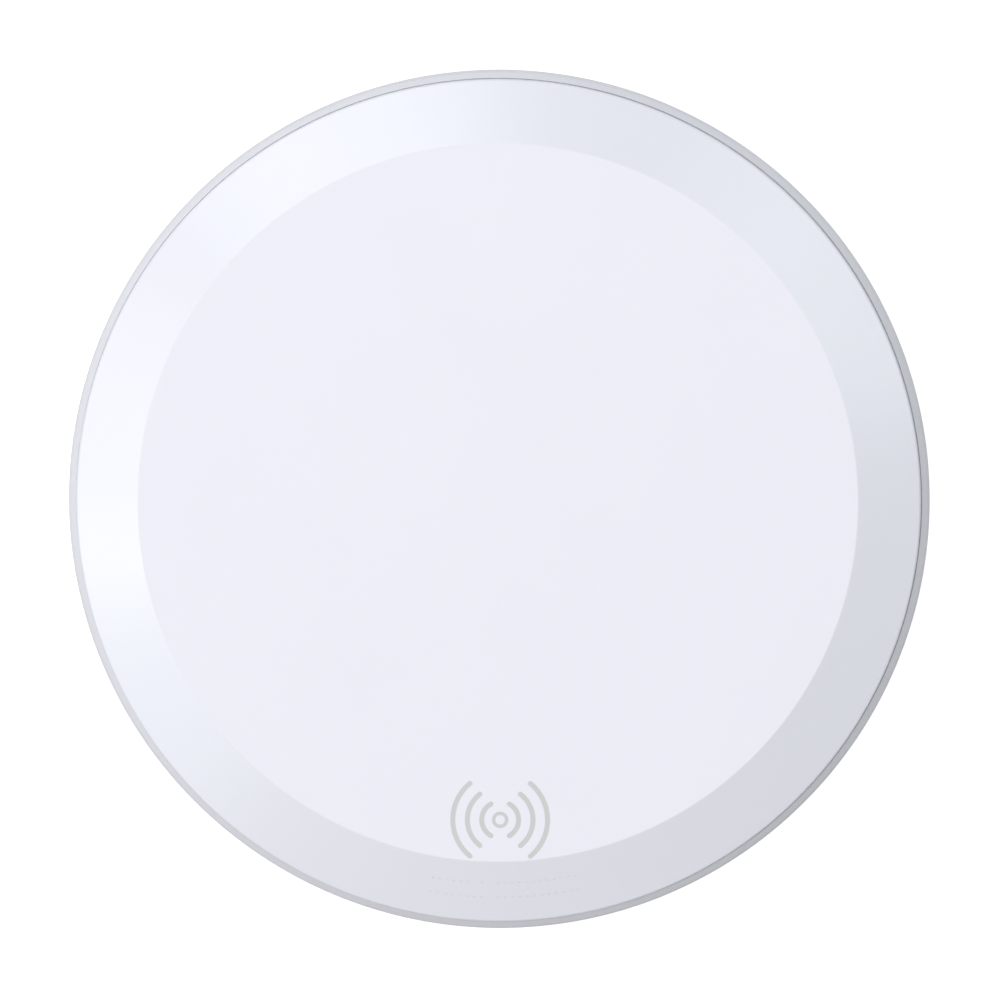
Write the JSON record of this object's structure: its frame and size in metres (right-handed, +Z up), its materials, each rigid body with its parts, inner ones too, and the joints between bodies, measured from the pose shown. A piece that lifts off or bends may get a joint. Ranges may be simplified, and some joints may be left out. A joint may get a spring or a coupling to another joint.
{
  "type": "wireless charging pad",
  "caption": "Slim round wireless phone charging pad with a flat top, wide sloping border, frosted rim ring, socket at the back and silicone feet.",
  "frame": {"origin": "centre of the plane that the four feet stand on, under the middle of the pad", "axes": "+Z up, out of the charging surface; +Y towards the power socket at the back; -Y towards the printed mark at the front; +X to the right, seen from above with the socket at the top"},
  "size_m": [0.1, 0.1, 0.01],
  "materials": {
    "casing_white": "moulded white plastic with a soft gloss",
    "frosted_ring": "frosted translucent light guide",
    "foot_silicone": "matte pale silicone",
    "screw_steel": "bright zinc plated",
    "socket_steel": "nickel plated, drawn",
    "black_resin": "moulded black resin",
    "board_laminate": "green solder mask over glass laminate",
    "litz_copper": "enamelled stranded copper",
    "ferrite": "dark sintered ferrite",
    "inductor_ferrite": "pressed ferrite core",
    "capacitor_ceramic": "tan ceramic with tinned ends",
    "fuse_ceramic": "white ceramic with tinned ends",
    "lamp_resin": "pale lamp body with a clear lens",
    "adhesive_tape": "thin double sided tape",
    "cushion_foam": "soft open foam"
  },
  "bodies": {
    "root": {"top_cover": "casing_white", "light_ring": "frosted_ring", "base_shell": "casing_white", "foot_1": "foot_silicone", "foot_2": "foot_silicone", "foot_3": "foot_silicone", "foot_4": "foot_silicone", "casing_screw_1": "screw_steel", "casing_screw_2": "screw_steel", "casing_screw_3": "screw_steel", "casing_screw_4": "screw_steel", "main_board": "board_laminate", "board_screw_1": "screw_steel", "board_screw_2": "screw_steel", "board_screw_3": "screw_steel", "board_screw_4": "screw_steel", "socket_shell": "socket_steel", "socket_tongue": "black_resin", "coil_cushion": "cushion_foam", "ferrite_shield": "ferrite", "coil_adhesive": "adhesive_tape", "coil_winding": "litz_copper", "cover_adhesive": "adhesive_tape", "surge_diode": "black_resin", "input_fuse": "fuse_ceramic", "input_capacitor_1": "capacitor_ceramic", "input_capacitor_2": "capacitor_ceramic", "handshake_chip": "black_resin", "regulator_chip": "black_resin", "power_inductor": "inductor_ferrite", "controller_chip": "black_resin", "clock_crystal": "screw_steel", "bridge_driver_1": "black_resin", "bridge_driver_2": "black_resin", "sense_resistor": "black_resin", "thermistor_chip": "capacitor_ceramic", "tuning_capacitor_1": "capacitor_ceramic", "tuning_capacitor_2": "capacitor_ceramic", "tuning_capacitor_3": "capacitor_ceramic", "tuning_capacitor_4": "capacitor_ceramic", "status_lamp_1": "lamp_resin", "status_lamp_2": "lamp_resin", "status_lamp_3": "lamp_resin", "status_lamp_4": "lamp_resin"}
  },
  "joints": []
}
